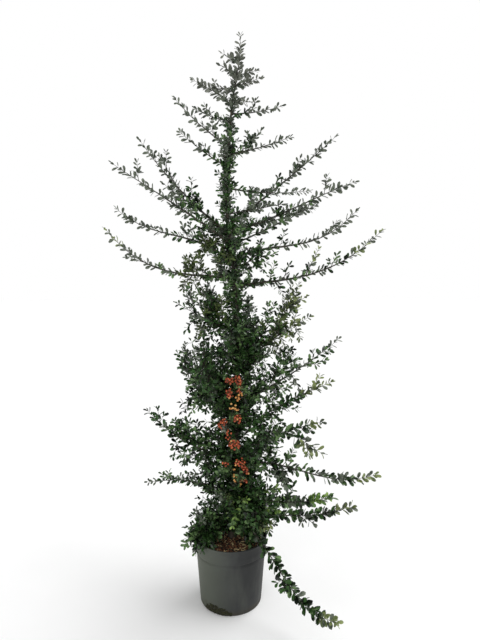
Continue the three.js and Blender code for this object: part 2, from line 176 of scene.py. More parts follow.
# Firethorn bark: dull grey brown, with pale pores a few millimetres wide and long shallow cracks.
def firethornBark():
    material, tree, surface = newFinish("firethornBark", {"Roughness": 0.78})
    patches = addNoise(tree, objectPlace(tree), 45, 4)
    brown = blendColours(tree, between(tree, patches, 0.35, 0.7), "#241f18", "#40382c")
    poreShape = objectPlace(tree, scale=(1, 1, 1.8))
    pores = addNode(tree, "ShaderNodeTexVoronoi", {"Scale": 170}, {"Vector": poreShape})
    spots = between(tree, pores.outputs["Distance"], 0.28, 0.12)
    tree.links.new(blendColours(tree, spots, brown, "#544a3b"), surface.inputs["Base Color"])
    roughen(tree, surface, addNoise(tree, objectPlace(tree, scale=(1, 1, 0.18)), 260, 4), 0.7, 1.2)
    return material


# Young firethorn wood: thin dark grey-brown bark with a slight sheen.
def youngBark():
    colours = ("#221f18", "#3a3529")
    return mottled("youngBark", {"Roughness": 0.55}, (60, 3), (0.35, 0.65), colours, (0.3, 0.5))


# A waxy evergreen leaf: the cuticle gives a soft gloss, and the green wavers a little from leaf to leaf.
def waxyLeaf(name, dark, light, roughness):
    settings = {"Roughness": roughness, "IOR": 1.45, "Specular IOR Level": 0.34}
    material = mottled(name, settings, (38, 2), (0.42, 0.6), (dark, light))
    tree = material.node_tree
    veins = addNoise(tree, objectPlace(tree), 420, 2)
    roughen(tree, tree.nodes["Principled BSDF"], veins, 0.2, 0.4)
    return material


# Pome skin: thin, smooth and glossy over dry flesh.
def berrySkin(name, dark, light):
    return mottled(name, {"Roughness": 0.26, "IOR": 1.45}, (90, 2), (0.35, 0.65), (dark, light))


# Dry calyx: the five dark brown points left at the end of each berry.
def dryCalyx():
    return mottled("dryCalyx", {"Roughness": 0.9}, (600, 2), (0, 1), ("#1c120b", "#3a2616"))


# Paper: matt and all but white.
def paperFloor():
    settings = {"Roughness": 0.9, "Specular IOR Level": 0.1}
    return mottled("paperFloor", settings, (3, 2), (0, 1), ("#f4f4f4", "#f8f8f8"))


# Camera, light and floor

camera = {"place": (0.038, -1.92, 1.334), "down": 5, "focalPixels": 481, "framePixels": 640, "sensor": 36}
studio = {
    "backdrop": 1.0, "skyLight": 0.6,  # how bright the sky is to the camera, and as a light
    "sun": {"from": (1.9, 0.5, 1.65), "softness": 70, "strength": 2.5},
    "key": {"place": (-1.4, -3.2, 1.1), "size": 1.6, "power": 32},
    "rim": {"place": (-2.2, 1.0, 2.2), "size": 1.6, "power": 2},
    "aim": (0, 0, 1.0), "floor": {"radius": 30, "segments": 64},
}


def newObject(name, data):
    added = bpy.data.objects.new(name, data)
    bpy.context.scene.collection.objects.link(added)
    return added


def placeCamera():
    lens = bpy.data.cameras.new("camera")
    lens.sensor_width = camera["sensor"]
    lens.lens = camera["focalPixels"] * camera["sensor"] / camera["framePixels"]
    eye = newObject("camera", lens)
    eye.location = camera["place"]
    eye.rotation_euler = (radians(90 - camera["down"]), 0, 0)
    bpy.context.scene.camera = eye


def placeLights():
    world = bpy.data.worlds.new("studio")
    world.use_nodes = True
    bpy.context.scene.world = world
    tree = world.node_tree
    seen = addNode(tree, "ShaderNodeLightPath").outputs["Is Camera Ray"]
    settings = {"To Min": studio["skyLight"], "To Max": studio["backdrop"]}
    strength = addNode(tree, "ShaderNodeMapRange", settings, {"Value": seen}).outputs["Result"]
    sky = tree.nodes["Background"].inputs
    sky["Color"].default_value = linear("#ffffff")
    tree.links.new(strength, sky["Strength"])
    sun = bpy.data.lights.new("sun", "SUN")
    sun.energy = studio["sun"]["strength"]
    sun.angle = radians(studio["sun"]["softness"])
    newObject("sun", sun).rotation_euler = Vector(studio["sun"]["from"]).to_track_quat("Z", "Y").to_euler()
    for name in ("key", "rim"):
        lamp = bpy.data.lights.new(name, "AREA")
        lamp.size = studio[name]["size"]
        lamp.energy = studio[name]["power"]
        holder = newObject(name, lamp)
        holder.location = studio[name]["place"]
        aim = Vector(studio["aim"]) - holder.location
        holder.rotation_euler = aim.to_track_quat("-Z", "Y").to_euler()


def meshFrom(shape, name):
    mesh = bpy.data.meshes.new(name)
    shape.to_mesh(mesh)
    shape.free()
    return mesh


def show(name, mesh, material):
    mesh.materials.append(material)
    return newObject(name, mesh)


def makeFloor():
    shape = bmesh.new()
    bmesh.ops.create_circle(shape, cap_ends=True, **studio["floor"])
    show("floor", meshFrom(shape, "floor"), paperFloor())


placeCamera()
placeLights()
makeFloor()
bpy.context.scene.view_settings.view_transform = "Standard"
print("camera, light and floor")


# Shapes and chance

def mix(low, high, share):
    return low + (high - low) * share


def direction(azimuth):
    return Vector((cos(radians(azimuth)), sin(radians(azimuth)), 0))


# A heading with two axes at right angles to it, rolled about it.
def axesOf(heading, roll):
    side = up.cross(heading)
    side = side.normalized() if side.length > 1e-6 else Vector((0, 1, 0))
    face = heading.cross(side)
    turned = side * cos(roll) + face * sin(roll)
    return heading, turned, heading.cross(turned)


def seededRandom(seed):
    state = [seed]

    def draw():
        state[0] = (state[0] * 1664525 + 1013904223) % 4294967296
        return state[0] / 4294967296
    return draw


# Copies one small shape many times. Each row is a root and three axes as long as the copy is along them.
def copies(pattern, rows):
    points = np.array([v.co for v in pattern.vertices])
    roots = np.array([row[0] for row in rows])
    axes = np.array([row[1] for row in rows])
    placed = np.einsum("vk,nkj->nvj", points, axes) + roots[:, None, :]
    faces = [tuple(face.vertices) for face in pattern.polygons]
    starts = range(0, len(rows) * len(points), len(points))
    copied = [[start + v for v in face] for start in starts for face in faces]
    mesh = bpy.data.meshes.new(pattern.name)
    mesh.from_pydata(placed.reshape(-1, 3), [], copied, shade_flat=False)
    return mesh


# Pot

pot = {
    "height": 278, "footRadius": 127, "rimRadius": 150, "wall": 3, "floor": 6, "footEdge": 3,
    "bandHeight": 58, "bandStep": 2.5, "lip": 2, "lipHeight": 6, "steps": 96, "footGroove": 1.2, "groove": 2,
}


def innerRadius(height):
    slope = (pot["rimRadius"] - pot["bandStep"] - pot["footRadius"]) / pot["height"]
    return pot["footRadius"] - pot["wall"] + slope * height


def outerRadius(height):
    return innerRadius(height) + pot["wall"]


def spun(profile, steps):
    shape = bmesh.new()
    points = [shape.verts.new((radius * mm, 0, height * mm)) for radius, height in profile]
    edges = [shape.edges.new(pair) for pair in zip(points, points[1:])]
    bmesh.ops.spin(shape, geom=points + edges, axis=(0, 0, 1), cent=(0, 0, 0), angle=2 * pi,
                   steps=steps, use_merge=True)
    bmesh.ops.remove_doubles(shape, verts=shape.verts, dist=1e-6)
    bmesh.ops.recalc_face_normals(shape, faces=shape.faces)
    return shape


def makePot():
    foot, rim, top, groove = (pot[key] for key in ("footRadius", "rimRadius", "height", "groove"))
    bandFoot = top - pot["bandHeight"]
    lipFoot = top - pot["lipHeight"]
    under = outerRadius(bandFoot)
    band = under + pot["bandStep"]
    profile = [  # radius and height, from the underside up the outside and down the inside, edges rounded
        (0, 0), (foot - pot["footEdge"], 0), (foot - 0.9, 0.9), (foot, pot["footEdge"]),
        (outerRadius(14), 14), (outerRadius(15) - pot["footGroove"] / 2, 15.5),
        *((outerRadius(height), height) for height in (17, 60, 110, 160, 200)),
        (under - 0.2, bandFoot - 11), (under - 0.9, bandFoot - 10),
        (under - groove, bandFoot - 8.5), (under - groove, bandFoot - 2.2),
        (band - 0.9, bandFoot - 0.9), (band, bandFoot + 1.2),
        (outerRadius(bandFoot + 24) + pot["bandStep"], bandFoot + 24), (rim - pot["lip"], lipFoot - 1),
        (rim - 0.6, lipFoot + 0.6), (rim, lipFoot + 2),
        (rim, top - 1.6), (rim - 0.6, top - 0.4), (rim - 1.6, top),
        (innerRadius(top) + 0.8, top), (innerRadius(top), top - 0.8),
        (innerRadius(150), 150), (innerRadius(pot["floor"]), pot["floor"]), (0, pot["floor"]),
    ]
    mesh = meshFrom(spun(profile, pot["steps"]), "pot")
    mesh.shade_smooth()
    mesh.set_sharp_from_angle(angle=radians(50))
    piece = show("nurseryPot", mesh, mouldedPolypropylene())
    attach(piece, "root")
    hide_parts("pot")


makePot()
print("pot")


# Moss caught on the foot of the pot, in crumbs.

footMoss = {
    "count": 170, "from": 220, "to": 272, "middle": 243, "highest": 36, "size": (2.5, 8), "lump": 0.3,
    "seed": 13,
}


def makeMoss():
    draw = seededRandom(footMoss["seed"])
    crumb = bmesh.new()
    bmesh.ops.create_icosphere(crumb, subdivisions=1, radius=1)
    for v in crumb.verts:
        v.co *= 1 + footMoss["lump"] * noise.noise(v.co * 2)
    pattern = meshFrom(crumb, "crumb")
    rows = []
    for _ in range(footMoss["count"]):
        azimuth = mix(footMoss["from"], footMoss["to"], draw())
        aside = abs(azimuth - footMoss["middle"]) / (footMoss["to"] - footMoss["middle"])
        height = footMoss["highest"] * (1 - aside ** 2) * draw() ** 1.6 + 2
        size = mix(*footMoss["size"], draw() ** 2) * mm
        out = direction(azimuth)
        flat, tall = axesOf(out, draw() * 3)[1:]
        root = out * outerRadius(height) * mm + up * height * mm
        root.z = max(root.z, size * 1.6)
        rows.append((root, (out * size * 0.5, flat * size * (0.7 + draw()), tall * size)))
    piece = show("footMoss", copies(pattern, rows), cushionMoss())
    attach(piece, "root")
    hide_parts("pot")


# Soil: the solid stays, in peat, under a mulch of bark chips.

mulch = {
    "top": 256, "radius": 141, "pile": 7, "count": 2600, "seed": 71,
    "length": (6, 18), "width": (0.3, 0.65), "thickness": (1.2, 3.0), "tilt": 0.9, "roll": 1.2,
    "tones": (("mulchRust", "#462a1c", "#80502f", 0.48), ("mulchDark", "#180f0a", "#2c1b12", 0.3),
              ("mulchPale", "#9a855f", "#cdb98c", 0.22)),
}
chip = {"taper": 0.45, "slope": 0.25, "warp": 0.3, "edge": 0.05}


def chipPattern():
    shape = bmesh.new()
    bmesh.ops.create_cube(shape, size=1)
    lengthwise = [e for e in shape.edges if abs(e.verts[0].co.x - e.verts[1].co.x) > 0.5]
    bmesh.ops.subdivide_edges(shape, edges=lengthwise, cuts=1)
    for v in shape.verts:
        v.co.y *= 1 - chip["taper"] * abs(v.co.x) - chip["slope"] * v.co.z
        v.co.z += chip["warp"] * noise.noise(v.co * 3.1)
    bmesh.ops.bevel(shape, geom=shape.edges[:], offset=chip["edge"], segments=1, affect="EDGES", profile=0.5,
                    material=-1)
    return meshFrom(shape, "chip")


def makeMulch():
    draw = seededRandom(mulch["seed"])
    pattern = chipPattern()
    rows = {tone[0]: [] for tone in mulch["tones"]}
    for _ in range(mulch["count"]):
        length = mix(*mulch["length"], draw() ** 2) * mm
        width = length * mix(*mulch["width"], draw())
        thick = mix(*mulch["thickness"], draw()) * mm
        reach = mulch["radius"] * mm - length / 2
        away = reach * sqrt(draw())
        azimuth = 2 * pi * draw()
        height = (mulch["top"] + mulch["pile"] * draw()) * mm
        centre = Vector((away * cos(azimuth), away * sin(azimuth), height))
        tilt = (draw() - 0.5) * mulch["tilt"]
        turn = 2 * pi * draw()
        heading = Vector((cos(turn) * cos(tilt), sin(turn) * cos(tilt), sin(tilt)))
        along, across, above = axesOf(heading, (draw() - 0.5) * mulch["roll"])
        pick = draw()
        for name, _, _, share in mulch["tones"]:
            if pick < share:
                break
            pick -= share
        rows[name].append((centre, (along * length, across * width, above * thick)))
    for name, dark, light, _ in mulch["tones"]:
        piece = show(name, copies(pattern, rows[name]), chippedBark(name, dark, light))
        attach(piece, "root")
    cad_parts["soil"].material_slots[0].material = dampPeat()


makeMulch()
makeMoss()
print("soil and mulch")


# Limbs, on nearly the same curves as the solids have.

trunk = {
    "top": 1980, "soil": 256, "sunk": 12,
    "footRadius": 13.5, "topRadius": 4, "flareRadius": 5.5, "flareHeight": 26, "ringStep": 7,
    "swayX": (4, 14, 19, 23, 26, 25, 19, 2, -16, -7, 5), "swayY": (0, -3, -6, -4, 2, 6, 5, 0, -4, -2, 0),
}
trunkFoot = trunk["soil"] - trunk["sunk"]
trunkLength = trunk["top"] - trunkFoot
trunkSteps = len(trunk["swayX"]) - 1

leader = {
    "points": ((5, 0, 1980), (14, -3, 2060), (52, -4, 2190), (34, 0, 2267)), "radius": 3.4, "spread": 26,
}

# Each side's sprays, numbered from 1: height, azimuth, reach, rise, hang at one third and at two thirds,
# bare share, first side twigs.
sides = {
    "left": (
        (1935, 165, 163, 70, 9, 9, 0, 30), (1844, 188, 225, 185, 22, 22, 0, 34),
        (1765, 205, 210, 120, 14, 14, 0, 36), (1500, 176, 370, 397, 28, 52, 0.25, 66),
        (1470, 198, 464, 283, -8, -8, 0.22, 60), (1436, 212, 200, 57, -16, -16, 0, 78),
        (1388, 184, 471, 232, -80, 86, 0.22, 48), (1334, 170, 571, 240, 60, 180, 0.2, 52),
        (1118, 196, 258, 128, 9, 9, 0, 84), (860, 214, 225, 175, 12, 12, 0, 88),
        (780, 168, 275, 330, 60, 200, 0, 88), (590, 192, 371, 261, 40, 90, 0.2, 66),
        (430, 172, 392, 38, -70, -40, 0, 58), (310, 215, 247, -40, -75, -50, 0, 60),
    ),
    "right": (
        (1965, 352, 215, 24, 11, 11, 0, 26), (1812, 340, 266, 48, 11, 11, 0, 32),
        (1685, 345, 340, -24, 20, 20, 0, 36), (1540, 8, 448, 369, 13, 13, 0.25, 56),
        (1515, 353, 501, 188, 30, -10, 0.2, 62), (1462, 20, 395, 186, 6, 6, 0, 66),
        (1405, 4, 526, 238, -20, 170, 0.22, 50), (1372, 328, 205, 56, -8, -8, 0, 66),
        (1302, 350, 585, 236, 49, 147, 0.2, 52), (955, 14, 277, 387, 60, 90, 0.25, 84),
        (819, 356, 423, 286, 20, 22, 0.22, 80), (706, 338, 398, 245, -20, -20, 0, 82),
        (610, 16, 402, 106, -30, -30, 0, 74), (560, 350, 579, 28, -85, 125, 0.2, 62),
        (420, 318, 480, 172, -5, 50, 0, 74), (366, 347, 500, 93, 15, 70, 0, 62),
        (330, 316, 525, -145, -130, 255, 0, 44),
    ),
    "front": (
        (1740, 262, 100, 100, 5, 5, 0, 40), (1425, 284, 190, 130, 10, 10, 0, 80),
        (1060, 258, 170, 60, -10, -10, 0, 92), (900, 288, 150, -25, -30, -30, 0, 44),
        (745, 250, 155, -15, -30, -30, 0, 48), (545, 280, 155, 0, -30, -30, 0, 48),
        (400, 273, 180, -40, -60, -60, 0, 84),
    ),
    "back": (
        (1740, 85, 190, 150, 8, 8, 0, 40), (1490, 68, 330, 260, 20, 30, 0, 66),
        (1296, 112, 360, 230, 20, 60, 0, 72), (1010, 78, 300, 260, 20, 40, 0, 88),
        (720, 108, 350, 200, 20, 40, 0, 84), (420, 72, 370, 80, -60, -30, 0, 72),
    ),
}
sprays = [(f"{side}_{k}", *row) for side, rows in sides.items() for k, row in enumerate(rows, 1)]

# Side sprays: mass, share of its stem, azimuth, reach, rise, hang at one third and at two thirds.
# The last ten, from ("leader", 0.74), are finer ones that the solids don't have.
forks = (
    ("leader", 0.57, 170, 84, 54, 4, 4), ("leader", 0.3, 192, 96, 15, 0, 0),
    ("leader", 0.08, 182, 165, 94, -15, -15), ("leader", 0.4, 5, 117, 45, 7, 7),
    ("leader", 0.16, 340, 93, -7, 8, 8), ("left_4", 0.5, 184, 75, 130, 0, 0),
    ("left_9", 0.12, 160, 190, 170, 30, 50), ("left_9", 0.2, 222, 190, 60, 0, 0),
    ("left_10", 0.15, 176, 200, 110, 10, 10), ("left_13", 0.25, 210, 230, 100, 0, 0),
    ("right_2", 0.15, 28, 130, 130, 25, 25), ("right_4", 0.5, 40, 60, 90, 0, 0),
    ("right_9", 0.4, 10, 60, 120, 0, 0), ("right_10", 0.2, 342, 210, 140, -10, -10),
    ("right_13", 0.15, 322, 370, 48, -150, -70), ("leader", 0.74, 172, 82, 50, 4, 4),
    ("leader", 0.56, 5, 92, 30, 5, 5), ("right_5", 0, 352, 250, 74, 12, 12),
    ("left_14", 0.8, 190, 75, -40, -6, -6), ("left_14", 0.6, 200, 100, -50, -12, -12),
    ("left_12", 0, 195, 125, -10, -20, -10), ("right_10", 0.85, 5, 95, 60, 0, 0),
    ("left_4", 0.05, 178, 175, 128, 6, 6), ("left_10", 0.75, 205, 62, 130, 0, 0),
    ("front_7", 0.3, 300, 120, 45, -20, -20),
)
# Finer sprays in the space of the mass that they belong to, as rows of sprays.
fineSprays = [
    ("right_5", 1582, 353, 240, 40, 0, 0, 0, 30), ("right_11", 1005, 348, 245, 50, 0, 0, 0, 76),
    ("back_4", 880, 12, 165, 375, 20, 30, 0, 80), ("left_9", 1225, 190, 175, 60, 0, 0, 0, 56),
    ("left_14", 300, 202, 225, -40, -65, -50, 0, 46), ("left_14", 296, 222, 210, -30, -60, -50, 0, 40),
    ("right_15", 450, 335, 210, 60, 0, 0, 0, 60), ("right_15", 395, 333, 215, 15, -30, -10, 0, 52),
    ("right_17", 318, 322, 185, -20, -80, -70, 0, 40), ("right_17", 322, 332, 190, -10, -90, -70, 0, 46),
    ("back_5", 640, 100, 130, 90, 0, 0, 0, 88), ("left_12", 655, 184, 135, 70, 0, 0, 0, 60),
    ("back_4", 790, 8, 175, 70, 0, 0, 0, 78), ("left_12", 520, 195, 190, 35, 0, 0, 0, 50),
    ("left_10", 985, 168, 165, 60, 0, 0, 0, 50), ("left_12", 735, 172, 150, 10, 0, 0, 0, 60),
]

limbs = {
    "thinStem": 2.6, "stemThickening": 0.004, "boughThickening": 1.25, "forkRadius": 2.4, "forkSpread": 30,
    "tipRadius": 1.0, "collar": 0.5, "collarLength": 30, "ringStep": 12, "waver": 1.6,
}


# The trunk goes through these, and has one more beyond each end.
def makeKnots():
    inner = [Vector((x, y, trunkFoot + trunkLength * i / trunkSteps))
             for i, (x, y) in enumerate(zip(trunk["swayX"], trunk["swayY"]))]
    return [inner[0] * 2 - inner[1]] + inner + [inner[-1] * 2 - inner[-2]]


trunkKnots = makeKnots()


def trunkPoint(share):
    place = min(max(share, 0), 1) * trunkSteps
    i = min(int(place), trunkSteps - 1)
    t = place - i
    before, start, end, after = trunkKnots[i:i + 4]
    leave, arrive = (end - before) / 2, (after - start) / 2
    point = start + leave * t + (start * -3 + end * 3 - leave * 2 - arrive) * t ** 2
    return (point + (start * 2 - end * 2 + leave + arrive) * t ** 3) * mm


def trunkAt(height):
    return trunkPoint((height - trunkFoot) / trunkLength)


def trunkRadius(share):
    flare = trunk["flareRadius"] * exp((trunk["sunk"] - share * trunkLength) / trunk["flareHeight"])
    return (mix(trunk["footRadius"], trunk["topRadius"], share) + flare) * mm


def limbCurve(root, azimuth, reach, rise, near, far):
    chord = direction(azimuth) * reach * mm + up * rise * mm
    return (root, root + chord / 3 - up * near * mm, root + chord * 2 / 3 - up * far * mm, root + chord)


def pointOn(curve, t):
    a, b, c, d = curve
    return a * (1 - t) ** 3 + b * 3 * t * (1 - t) ** 2 + c * 3 * t ** 2 * (1 - t) + d * t ** 3


def tangentOn(curve, t):
    a, b, c, d = curve
    slope = (b - a) * 3 * (1 - t) ** 2 + (c - b) * 6 * t * (1 - t) + (d - c) * 3 * t ** 2
    return slope.normalized()


def chordLength(curve):
    return (curve[3] - curve[0]).length


def stemRadius(reach):
    return limbs["thinStem"] + reach * limbs["stemThickening"]


# Tubes along paths of (point, radius), all in one mesh, closed at both ends.
def tubes(name, paths, roundness):
    route = bpy.data.curves.new(name, "CURVE")
    route.dimensions = "3D"
    route.bevel_depth = 1
    route.bevel_resolution = roundness
    route.use_fill_caps = True
    for path in paths:
        spline = route.splines.new("POLY")
        spline.points.add(len(path) - 1)
        for point, (place, radius) in zip(spline.points, path):
            point.co = (*place, 1)
            point.radius = radius
    holder = newObject(name, route)
    mesh = bpy.data.meshes.new_from_object(holder.evaluated_get(bpy.context.evaluated_depsgraph_get()))
    bpy.data.objects.remove(holder)
    bpy.data.curves.remove(route)
    mesh.name = name
    mesh.shade_smooth()
    return mesh


# Foliage: the rule of the solids, carried to real leaves.

foliage = {
    "twigLean": radians(52), "leafSplay": radians(48), "endSplay": radians(30),
    "lift": 0.25, "roll": 1.9, "variation": 0.3, "seed": 101, "seedStep": 13,
    "pitch": 70, "bushySpread": 75, "bushyPitch": 50, "berryPitch": 33, "leastGrowth": 4, "leastFill": 50,
    "solidLow": 86, "solidHigh": 58,  # length of the solids' leaves near the soil and at the trunk's top
    "leafLow": 28.5, "leafHigh": 27,  # length of the real leaves there
    "widthLow": 1.15, "widthHigh": 1.0,  # low leaves are rounder
    "smaller": 1.5,  # how soon leaves get smaller on the way up
    "shootShare": 0.8,  # length of a leafy shoot against the solid leaf that stood for it
    "rosette": 4,  # leaves in a tuft on a twig
    "pairs": 0.5,  # distance between pairs on a shoot against a leaf's length
    "twigPitch": 0.62,  # and between buds on a twig
    "older": 0.35,  # share of the leaves on a young tip that aren't this year's
    "shootBend": 0.12, "twigRise": 0.08, "twigSag": 0.03,  # each against the length
    "twigWaver": 4, "twigTaper": (0.8, 0.55),  # in the middle, and at the middle and the tip
    "fall": -0.7, "along": 0.35, "aside": 1.5,  # where the shoots that fill a mass head, against straight up
}
# Lean in degrees and size against a whole leaf, each as the least and what chance adds, of the leaves along
# a shoot, in a tuft and round a stem.
standing = {
    "shoot": ((42, 24), (0.8, 0.35)), "rosette": ((20, 38), (0.65, 0.45)), "whorl": ((38, 34), (0.75, 0.4)),
}
# radii of twigs at their foot, or at their foot, middle and tip
wood = {
    "side": 1.6, "fill": 1.7, "trunk": 1.5, "bough": 1.4,
    "shoot": (1.0, 0.8, 0.5), "bunch": (1.5, 1.2, 0.9), "stalk": (0.5, 0.45, 0.4),
}

# How a mass is clothed: nodes for each one that the solids have, leaves in a whorl, length of its shoots and
# of its side twigs against the rule's, and how much more its side twigs rise.
habits = {
    "bushy": (4, 3, 1.2, 1.1, 0.1), "airy": (4, 4, 0.62, 0.85, 0.4), "rope": (7, 5, 0.6, 0.5, 0),
    "top": (9, 4, 0.8, 0.9, 0.3), "foot": (6, 5, 0.9, 0.9, 0), "chain": (5, 4, 0.7, 0.6, 0.1),
}


# A table from rows of a value and the masses that have it.
def byMass(*rows):
    return {name: value for value, names in rows for name in names.split()}


habitOf = byMass(  # the others are airy
    ("bushy", "left_9 left_10 left_11 right_11 front_2 front_3 front_4 front_5 front_6 front_7 "
              "back_4 back_5"),
    ("chain", "left_12 left_13 right_8 right_12 right_13 right_14"),
    ("rope", "back_6 right_15 right_16 right_17"), ("top", "leader"), ("foot", "left_14"),
)
berryMasses = ("front_4", "front_5", "front_6")
# how far along a mass this year's grey-green or bright green leaves begin
freshFrom = {
    "left_8": 0.9, "right_9": 0.86, "right_10": 0.72, "right_12": 0.82, "right_13": 0.95, "right_14": 0.93,
    "right_16": 0.985, "right_17": 0.975,
}
sproutFrom = {"right_15": 0.9, "front_7": 0.75}
# size of the leaves where it isn't 1
leafScale = byMass(
    (0.88, "left_13"), (0.9, "front_7"), (0.92, "foot"), (0.95, "leader"), (1.02, "right_12"),
    (1.08, "back_6 left_12 right_5"), (1.1, "right_15 right_16"), (1.15, "right_17"), (1.18, "right_14"),
    (1.2, "right_13"),
)
# how soon the young grey-green leaves take over towards the end of a spray
youngTip = byMass(
    (0.9, "left_1 right_1 trunk"), (0.8, "left_2 left_4 left_8 right_2 right_4 right_5 right_7"),
    (0.7, "left_3 left_5 left_7 right_3 front_1 back_1"), (0.6, "right_6 back_2"),
    (0.5, "right_9 back_3"), (0.3, "left_13"), (0.2, "left_12 right_14"),
)
# share of olive leaves and how far along the limb, and share of the lighter green
olive = {
    "left_6": (0.85, 1), "left_8": (0.85, 0.3), "left_9": (0.12, 1), "right_10": (0.5, 1),
    "front_7": (0.2, 1),
}
lighter = {"left_12": 0.38, "right_14": 0.48, "right_16": 0.38, "foot": 0.55, "left_14": 0.45, "trunk": 0.5}
usual = {"youngTip": 0.1, "lighter": 0.42, "filled": (0, 0.88, 32, 150, 0.7)}
# From where to where a mass is filled with upright and hanging shoots, their pitch, their greatest length,
# and the share that rises.
filled = {
    "left_4": (0.1, 0.35, 30, 45, 0.5), "left_5": (0, 0.3, 24, 50, 0.5), "left_6": (0, 0.9, 22, 80, 0.15),
    "left_7": (0, 0.2, 40, 70, 0.6), "left_8": (0, 0.2, 8, 50, 0.6), "left_9": (0.2, 0.9, 21, 115, 0.65),
    "left_10": (0, 1, 14, 182, 0.66), "left_11": (0, 1, 15, 140, 0.75), "left_12": (0, 0.7, 13, 90, 0.5),
    "left_13": (0, 0.25, 30, 70, 0.6), "left_14": (0.5, 1, 8, 44, 0.4), "right_8": (0, 1, 22, 45, 0.5),
    "right_9": (0, 0.16, 30, 50, 0.6), "right_10": (0.35, 1, 20, 62, 0.6),
    "right_11": (0, 0.5, 15, 110, 0.75), "right_12": (0, 0.45, 16, 110, 0.5),
    "right_13": (0, 0.26, 24, 95, 0.4), "right_14": (0, 0.22, 20, 70, 0.3),
    "right_15": (0, 0.34, 10, 75, 0.5), "right_16": (0, 0.35, 12, 70, 0.4),
    "right_17": (0.1, 0.25, 14, 60, 0.5), "front_2": (0, 0.9, 70, 80, 0.6), "front_7": (0, 1, 24, 120, 0.7),
    "back_3": (0, 0.5, 60, 110, 0.7), "back_6": (0, 0.7, 34, 120, 0.6),
}
# each green's material, dark and light colour, and roughness
tones = {
    "deep": ("waxyLeafDeep", "#091308", "#38582c", 0.33),
    "mid": ("waxyLeafMid", "#20361c", "#6b8856", 0.34),
    "olive": ("waxyLeafOlive", "#303c20", "#606f40", 0.4),
    "young": ("waxyLeafYoung", "#434b3f", "#6d7566", 0.4),
    "downy": ("downyLeaf", "#4e5248", "#7e8277", 0.6),
    "fresh": ("waxyLeafFresh", "#525f3a", "#8b9762", 0.42),
    "sprout": ("waxyLeafSprout", "#43602c", "#87a455", 0.4),
}
twigs = []  # paths of (point, radius)
leaves = {tone: [] for tone in tones}


def atHeight(place, low, high):
    return mix(low, high, (place.z / mm - trunk["soil"]) / (trunk["top"] - trunk["soil"]))


def leafSize(place, low, high):
    above = min(1, max(0, atHeight(place, 0, 1)))
    return mix(high, low, (1 - above) ** foliage["smaller"])


def leafLength(place):
    return leafSize(place, foliage["leafLow"], foliage["leafHigh"]) * mm


def solidLeafLength(place):
    return atHeight(place, foliage["solidLow"], foliage["solidHigh"]) * mm


def stemOf(curve, azimuth, start, radius, spread):
    whole = (pointOn(curve, start) - curve[3]).length
    leaf = min(solidLeafLength(curve[0]), whole * 0.6)
    return {
        "curve": curve, "across": direction(azimuth + 90), "radius": radius, "spread": spread,
        "from": start, "to": 1 - (1 - start) * leaf / whole, "length": whole - leaf, "last": leaf,
    }


def placeOn(stem, share):
    return mix(stem["from"], stem["to"], share)


def headingFrom(stem, t, turn, lean):
    tangent = tangentOn(stem["curve"], t)
    side = (stem["across"] - tangent * stem["across"].dot(tangent)).normalized()
    rise = side.cross(tangent)
    heading = tangent * cos(lean) + side * sin(lean) * cos(turn)
    heading += rise * sin(lean) * sin(turn) + up * foliage["lift"]
    return heading.normalized()


def addLeaf(mass, root, heading, size, roll):
    tone = mass["tone"]
    if tone in ("fresh", "sprout") and mass["draw"]() < foliage["older"]:
        tone = "young" if tone == "fresh" else "mid"
    leaves[tone].append((root, heading, size * leafScale.get(mass["name"], 1), roll))


# A splayed pair of directions about a heading, in the plane that roll gives.
def splayed(heading, roll, angle):
    _, across, _ = axesOf(heading, roll)
    return [(heading * cos(angle) + across * side * sin(angle)).normalized() for side in (1, -1)]


# A direction that leans from an axis, at an angle round it.
def leaning(axis, angle, lean):
    _, side, above = axesOf(axis, 0)
    return axis * cos(lean) + (side * cos(angle) + above * sin(angle)) * sin(lean)


def drawn(draw, least, more):
    return least + more * draw()


def addWood(places, radii):
    twigs.append([(place, radius * mm) for place, radius in zip(places, radii)])


# A short leafy shoot: pairs of leaves that get smaller along it, and two at its end.
def addShoot(mass, root, heading, reach):
    draw = mass["draw"]
    size = leafLength(root)
    roll = (draw() - 0.5) * foliage["roll"]
    length = max(reach - size * 0.8, size * 0.25)
    bend = up * length * foliage["shootBend"] * (draw() - 0.3)
    end = root + heading * length + bend
    middle = root + heading * length * 0.5 + bend * 0.25
    addWood((root, middle, end), wood["shoot"])
    lean, scale = standing["shoot"]
    steps = max(1, round(length / (size * foliage["pairs"])))
    for k in range(steps):
        share = (k + 0.5) / steps
        place = root.lerp(end, share)
        turn = roll + (pi / 2 if k % 2 else 0) + 0.8 * (draw() - 0.5)
        for outward in splayed(heading, turn, radians(drawn(draw, *lean))):
            big = size * drawn(draw, *scale) * (1 - 0.25 * share)
            addLeaf(mass, place, outward, big, roll + (draw() - 0.5) * 2.6)
    for outward in splayed((end - middle).normalized(), roll, foliage["endSplay"]):
        addLeaf(mass, end, outward, size * (0.6 + 0.25 * draw()), (draw() - 0.5) * pi)


# A tuft of leaves from one bud.
def addRosette(mass, root, heading):
    draw = mass["draw"]
    lean, scale = standing["rosette"]
    start = 2 * pi * draw()
    for k in range(foliage["rosette"]):
        outward = leaning(heading, start + k * goldenAngle, radians(drawn(draw, *lean))).normalized()
        addLeaf(mass, root, outward, leafLength(root) * drawn(draw, *scale), (draw() - 0.5) * 2)


# Leaves all round a stem at one node, pointing on along it.
def addWhorl(mass, root, tangent, count):
    draw = mass["draw"]
    size = leafLength(root)
    lean, scale = standing["whorl"]
    start = 2 * pi * draw()
    for k in range(count):
        angle = start + k * 2 * pi / count + draw() - 0.5
        outward = leaning(tangent, angle, radians(drawn(draw, *lean))) + up * 0.15
        place = root + tangent * size * 0.6 * (draw() - 0.5)
        addLeaf(mass, place, outward.normalized(), size * drawn(draw, *scale), (draw() - 0.5) * pi)


